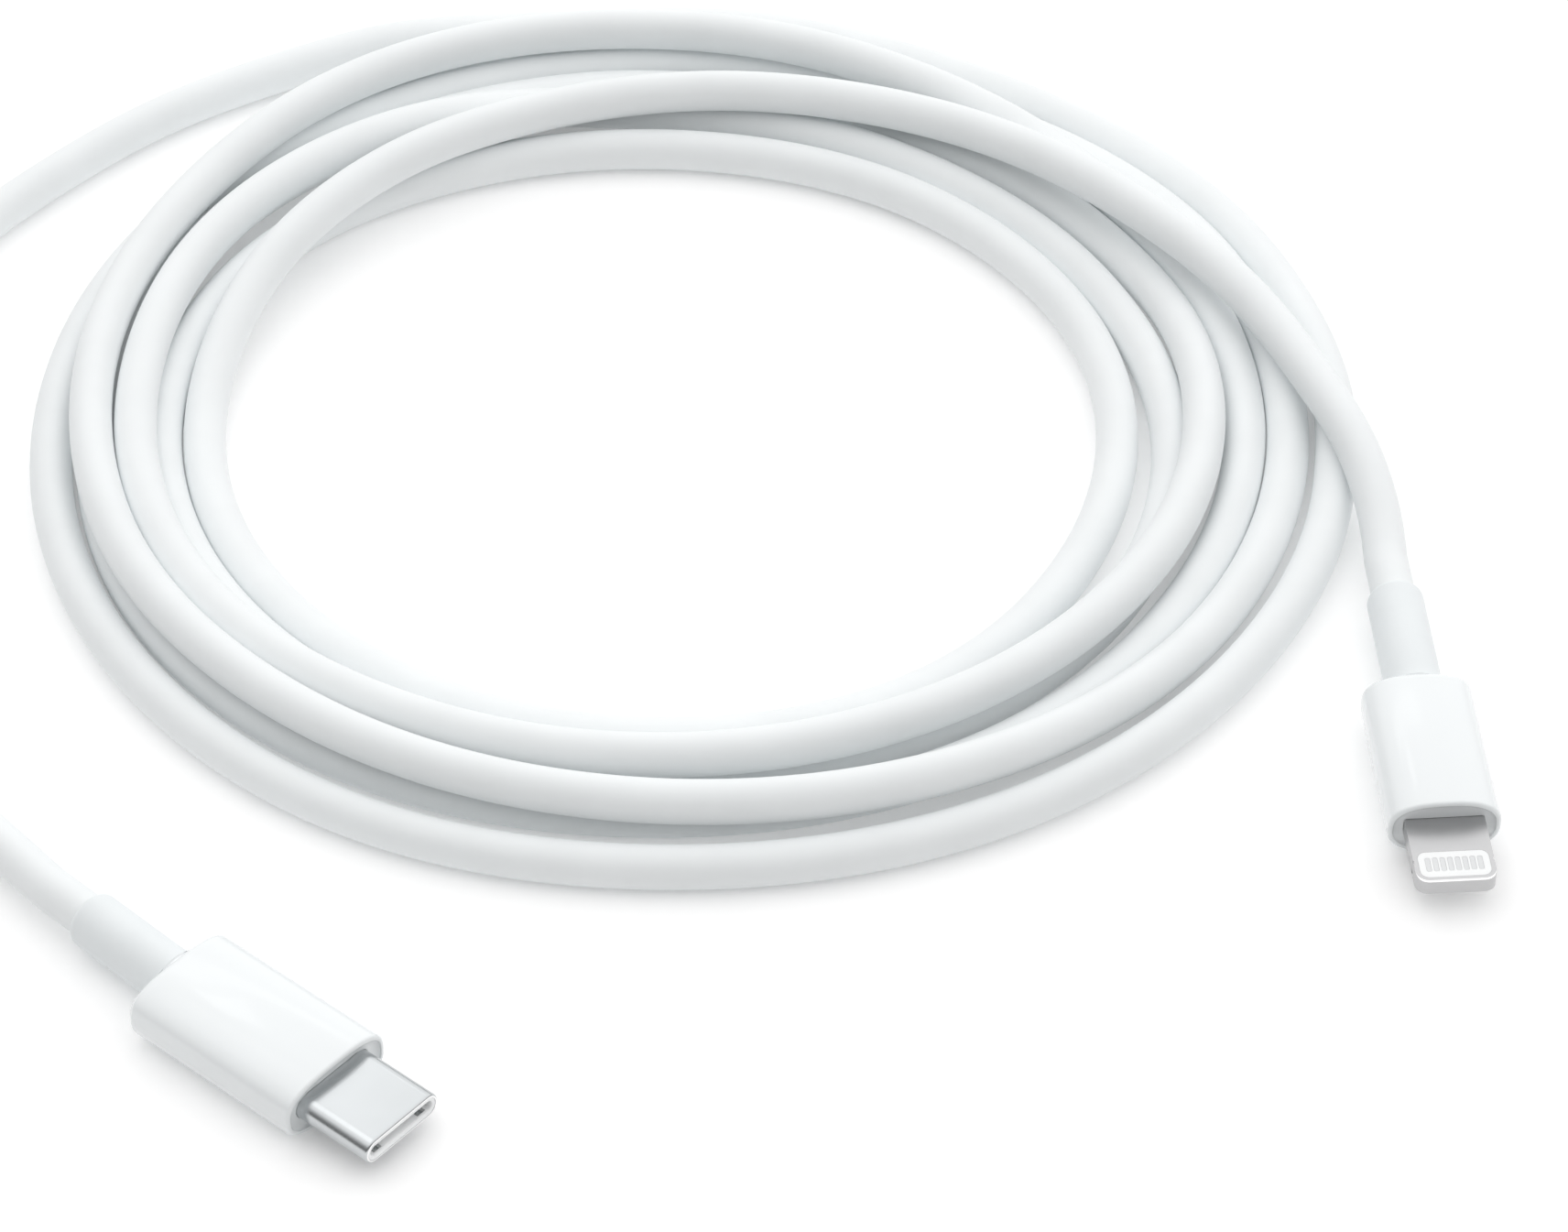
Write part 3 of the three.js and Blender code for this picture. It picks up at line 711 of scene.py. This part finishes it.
def add_oval_insulator(material):
    inset = SHELL["wall"] + INSULATOR["gap"]
    face, edge, lead_in = SHELL_FRONT - INSULATOR["sunk"], INSULATOR["edge"], INSULATOR["lead_in"]
    outside = ((SHELL_REAR + INSULATOR["start"], inset), (face - edge, inset), (face, inset + edge))
    rings = [ring(x, stadium(SHELL["width"], SHELL["thickness"], i)) for x, i in outside]
    for x, i in fillet(face - lead_in, -lead_in, lead_in, 0, 90, 4):
        rings.append(ring(x, stadium(CAVITY["width"], CAVITY["height"], i)))
    back = SHELL_FRONT - CAVITY["depth"]
    rings.append(ring(back, stadium(CAVITY["width"], CAVITY["height"])))
    obj = loft("oval_insulator", rings, material, OVAL_FRAME, wrap=False)
    cut(obj, OVAL_FRAME, boxes=insulator_boxes())
    keep(obj, "mouth_plastic", "oval_insulator")


# ---- the blade plug --------------------------------------------------------------------------
def blade_mouth(grow):
    more = 2 * (MOUTH_GAP + grow)
    return rounded(TONGUE["width"] + more, TONGUE["thickness"] + more, MOUTH_CORNER + grow)


def blade_outline():
    """The tongue in plan, counter-clockwise, with round front corners."""
    side, corner = TONGUE["width"] / 2, TONGUE["corner"]
    start = TONGUE_FRONT - 2 * corner
    points = [(TONGUE_REAR, -side), (start, -side)]
    for v, first in ((corner - side, -90), (side - corner, 0)):
        for a in np.radians(np.linspace(first, first + 90, 13)):
            points.append((TONGUE_FRONT - corner + corner * math.cos(a), v + corner * math.sin(a)))
    points += [(start, side), (TONGUE_REAR, side)]
    return points


def window_outline(gap=0.0):
    """The window in the tongue in plan, counter-clockwise, drawn in by a gap."""
    return corner_points(TONGUE_FRONT - WINDOW["rear"] + gap, TONGUE_FRONT - WINDOW["front"] - gap,
                         *span(0.0, WINDOW["width"] - 2 * gap), WINDOW["corner"] - gap)


def add_blade_frame(material, painted_highlight_finish):
    """The steel tongue, with a dimple in each side, and a painted highlight on the chamfer round
    its nose: its upward faces take a brighter steel.
    """
    half, corner = TONGUE["thickness"] / 2, TONGUE["corner"]
    obj = plate("blade_frame", blade_outline(), [window_outline()[::-1]], -half, half,
                TONGUE["bevel"], material, BLADE_FRAME,
                nose=(TONGUE_FRONT, corner, TONGUE["chamfer"]))
    slot = (TONGUE_REAR - OPEN_END, TONGUE_REAR + BOARD_SLOT["length"],
            *span(0.0, BOARD_SLOT["width"]), *span(0.0, BOARD_SLOT["height"]))
    out = TONGUE["width"] / 2 + DIMPLE["outside"]
    scoops = [((TONGUE_FRONT - DIMPLE["back"], side * out, 0.0), DIMPLE["radii"])
              for side in (-1, 1)]
    cut(obj, BLADE_FRAME, boxes=[slot], scoops=scoops)
    paint(obj, material, painted_highlight_finish)
    turn = BLADE_FRAME.inverted()
    low, high = PAINTED_HIGHLIGHT_RISE
    # Those chamfer faces at the nose take the brighter steel: a painted highlight.
    for face in obj.data.polygons:
        rise = abs((turn.to_3x3() @ face.normal).normalized().z)
        at_nose = (turn @ face.center).x > TONGUE_FRONT - corner
        face.material_index = int(low < rise < high and at_nose)
    keep(obj, "blade_steel", "blade_frame")


def pad_outline(place, grow=0.0):
    y = (place - (PAD["count"] - 1) / 2) * PAD["pitch"]
    middle = TONGUE_FRONT - (WINDOW["rear"] + WINDOW["front"]) / 2
    return corner_points(*span(middle, PAD["length"] + 2 * grow),
                         *span(y, PAD["width"] + 2 * grow), PAD["corner"] + grow, 5)


def add_blade_insert(plastic, plating):
    """The white insert in the tongue's window, and its row of contact pads on both faces."""
    top = TONGUE["thickness"] / 2 - INSERT["sunk"]
    holes = [pad_outline(i, PAD["gap"])[::-1] for i in range(PAD["count"])]
    insert = plate("blade_insert", window_outline(INSERT["gap"]), holes, -top, top,
                   INSERT["bevel"], plastic, BLADE_FRAME)
    keep(insert, "blade_plastic", "blade_insert")
    for word, side in (("upper", 1), ("lower", -1)):
        for i in range(PAD["count"]):
            name = f"blade_contact_{word}_{i + 1}"
            place = i if side > 0 else PAD["count"] - 1 - i
            z0, z1 = sorted((side * PAD["root"], side * (top - PAD["sunk"])))
            pad = plate(name, pad_outline(place), [], z0, z1, PAD["bevel"], plating, BLADE_FRAME)
            keep(pad, "contact_pad", name)


# ---- finishes of the pieces, and the stage ---------------------------------------------------
def make_finishes():
    drawn = (0.3, 1.0, 1.0)  # the shell's grain is long in the direction it was drawn
    return {
        "cord_jacket": finish("cord_jacket", (0.84, 0.861, 0.867), 0.58, patch=0.006, grain=0.02,
                              height=0.000004, stretch=(1.2, 6.0, 1.0), source="UV"),
        "plug_boot": finish("plug_boot", (0.845, 0.87, 0.878), 0.16, patch=0.008, mottle=0.006,
                            rough_spread=0.03, grain=0.0011, height=0.0000012, coat=0.35),
        "strain_sleeve": finish("strain_sleeve", (0.8, 0.83, 0.84), 0.55, grain=0.00022,
                                height=0.000004),
        "oval_steel": finish("oval_steel", (0.58, 0.6, 0.61), 0.24, 1.0, rough_spread=0.03,
                             grain=0.0001, height=0.0000003, along=bearing_of(OVAL_FRAME),
                             stretch=drawn),
        # A brighter copy of the steel: a painted highlight, put on the shell's rim and on the
        # tongue's nose chamfer.
        "painted_highlight_steel": finish("painted_highlight_steel", (0.95, 0.95, 0.95), 0.22, 1.0, rough_spread=0.03,
                              height=0.0000004),
        "mouth_plastic": finish("mouth_plastic", (0.93, 0.94, 0.945), 0.45),
        "gold_contact": finish("gold_contact", (0.83, 0.62, 0.28), 0.25, 1.0),
        "blade_steel": finish("blade_steel", (0.54, 0.54, 0.545), 0.34, 1.0, mottle=0.02,
                              rough_spread=0.06, grain=0.00008, height=0.0000012),
        "blade_plastic": finish("blade_plastic", (0.91, 0.92, 0.92), 0.4, height=0.000002),
        "contact_pad": finish("contact_pad", (0.7, 0.71, 0.715), 0.4, 0.3, mottle=0.03,
                              grain=0.0001),
        "tinned_metal": finish("tinned_metal", (0.6, 0.61, 0.62), 0.35, 1.0, mottle=0.04),
        "circuit_board": finish("circuit_board", (0.02, 0.11, 0.05), 0.4, mottle=0.1),
        "chip_resin": finish("chip_resin", (0.012, 0.012, 0.014), 0.55, mottle=0.15),
        "wire_red": finish("wire_red", (0.5, 0.03, 0.02), 0.45, mottle=0.04),
        "wire_black": finish("wire_black", (0.012, 0.012, 0.013), 0.45, mottle=0.1),
        "wire_green": finish("wire_green", (0.02, 0.25, 0.05), 0.45, mottle=0.04),
        "wire_white": finish("wire_white", (0.75, 0.75, 0.75), 0.45, mottle=0.02),
    }


def paint_frame(finishes):
    """Every CAD node that still shows takes its own slot's finish."""
    for row in frame["record"]["subparts"]:
        paint(frame["nodes"][row["node"]], finishes[row["material_slot"]])


def add_floor():
    half = FLOOR_HALF
    mesh = bpy.data.meshes.new("floor")
    corners = [(-half, -half, 0), (half, -half, 0), (half, half, 0), (-half, half, 0)]
    mesh.from_pydata(corners, [], [(0, 1, 2, 3)])
    floor = bpy.data.objects.new("floor", mesh)
    bpy.context.scene.collection.objects.link(floor)
    surface = finish("floor", (0.932, 0.93, 0.93), 0.9, patch=0.2, mottle=0.002, specular=0.1)
    shader = surface.node_tree.nodes["Principled BSDF"]
    shader.inputs["Emission Color"].default_value = (1.0, 1.0, 1.0, 1.0)
    shader.inputs["Emission Strength"].default_value = FLOOR_GLOW
    paint(floor, surface)


def add_light(name, bearing, elevation, distance, sides, power):
    """An area light that faces the coil's centre."""
    data = bpy.data.lights.new(name, "AREA")
    data.shape = "RECTANGLE"
    data.size, data.size_y = sides
    data.energy = power
    light = bpy.data.objects.new(name, data)
    a, e = math.radians(bearing), math.radians(elevation)
    away = Vector((math.cos(e) * math.cos(a), math.cos(e) * math.sin(a), math.sin(e)))
    light.location = CENTRE + away * distance
    light.rotation_euler = away.to_track_quat("Z", "Y").to_euler()
    bpy.context.scene.collection.objects.link(light)


def add_studio():
    """A broad soft sky that leans to the back over a dark horizon, a light overhead, and panels
    behind that show in the plugs as highlights."""
    world = bpy.data.worlds.new("studio")
    bpy.context.scene.world = world
    world.use_nodes = True
    tree = world.node_tree
    background = tree.nodes["Background"]
    background.inputs["Strength"].default_value = SKY
    place = tree.nodes.new("ShaderNodeTexCoord")
    lean = tree.nodes.new("ShaderNodeMapping")
    lean.vector_type = "POINT"
    lean.inputs["Rotation"].default_value = tuple(math.radians(a) for a in SKY_LEAN + (0.0,))
    tree.links.new(place.outputs["Generated"], lean.inputs["Vector"])
    split = tree.nodes.new("ShaderNodeSeparateXYZ")
    tree.links.new(lean.outputs["Vector"], split.inputs["Vector"])
    ramp = tree.nodes.new("ShaderNodeValToRGB")
    stops = ramp.color_ramp.elements
    while len(stops) < len(SKY_STOPS):
        stops.new(0.5)
    for stop, (position, shade) in zip(stops, SKY_STOPS):
        stop.position = position
        stop.color = (shade, shade, shade, 1.0)
    tree.links.new(split.outputs["Z"], ramp.inputs["Fac"])
    tree.links.new(ramp.outputs["Color"], background.inputs["Color"])
    for light in LIGHTS:
        add_light(*light)
    bpy.context.scene.view_settings.view_transform = "Standard"
    bpy.context.scene.cycles.diffuse_bounces = 8


add_camera()
FINISHES = make_finishes()
paint_frame(FINISHES)
add_cord(FINISHES["cord_jacket"])
add_boot("oval_boot", OVAL, oval_mouth, OVAL_FRAME, FINISHES["plug_boot"])
add_boot("blade_boot", BLADE, blade_mouth, BLADE_FRAME, FINISHES["plug_boot"])
add_sleeve("oval_sleeve", OVAL, OVAL_FRAME, FINISHES["strain_sleeve"])
add_sleeve("blade_sleeve", BLADE, BLADE_FRAME, FINISHES["strain_sleeve"])
add_oval_shell(FINISHES["oval_steel"], FINISHES["painted_highlight_steel"])
add_oval_insulator(FINISHES["mouth_plastic"])
add_blade_frame(FINISHES["blade_steel"], FINISHES["painted_highlight_steel"])
add_blade_insert(FINISHES["blade_plastic"], FINISHES["contact_pad"])
add_floor()
add_studio()
